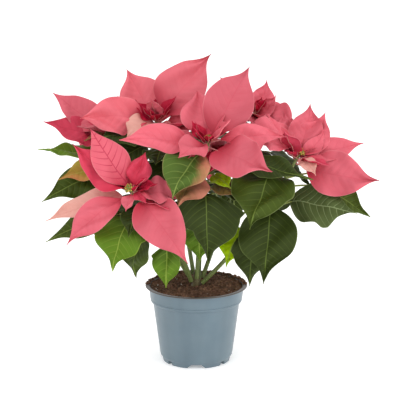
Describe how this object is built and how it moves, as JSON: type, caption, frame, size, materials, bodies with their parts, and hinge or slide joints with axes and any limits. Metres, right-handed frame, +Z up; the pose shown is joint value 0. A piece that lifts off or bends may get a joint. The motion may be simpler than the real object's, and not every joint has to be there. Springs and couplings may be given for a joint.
{
  "type": "potted poinsettia",
  "caption": "Potted poinsettia: leafy green shoots from a short stem, each ending in coral-pink bracts round tiny flowers, in a plain tapered nursery pot.",
  "frame": {"origin": "centre of the pot's underside, in the plane it stands on", "axes": "+Z up the main stem, -Y towards the plant's front, +X to the right as seen from the front"},
  "size_m": [0.4301, 0.3, 0.3886],
  "materials": {
    "pot_plastic": "semi-gloss",
    "peat": "rough",
    "green_stem": "satin",
    "green_shoot": "satin",
    "green_leaf": "satin",
    "pink_bract": "satin",
    "yellow_green_bud": "satin"
  },
  "bodies": {
    "root": {"pot": "pot_plastic", "soil": "peat", "main_stem": "green_stem", "bough_front_left": "green_shoot", "leaves_front_left": "green_leaf", "bracts_front_left": "pink_bract", "flowers_front_left": "yellow_green_bud", "bough_left": "green_shoot", "leaves_left": "green_leaf", "bracts_left": "pink_bract", "flowers_left": "yellow_green_bud", "bough_back_left": "green_shoot", "leaves_back_left": "green_leaf", "bracts_back_left": "pink_bract", "flowers_back_left": "yellow_green_bud", "bough_front": "green_shoot", "leaves_front": "green_leaf", "bracts_front": "pink_bract", "flowers_front": "yellow_green_bud", "bough_right": "green_shoot", "leaves_right": "green_leaf", "bracts_right": "pink_bract", "flowers_right": "yellow_green_bud", "bough_back_right": "green_shoot", "leaves_back_right": "green_leaf", "bracts_back_right": "pink_bract", "flowers_back_right": "yellow_green_bud", "bough_back": "green_shoot", "leaves_back": "green_leaf", "bracts_back": "pink_bract", "flowers_back": "yellow_green_bud"}
  },
  "joints": []
}
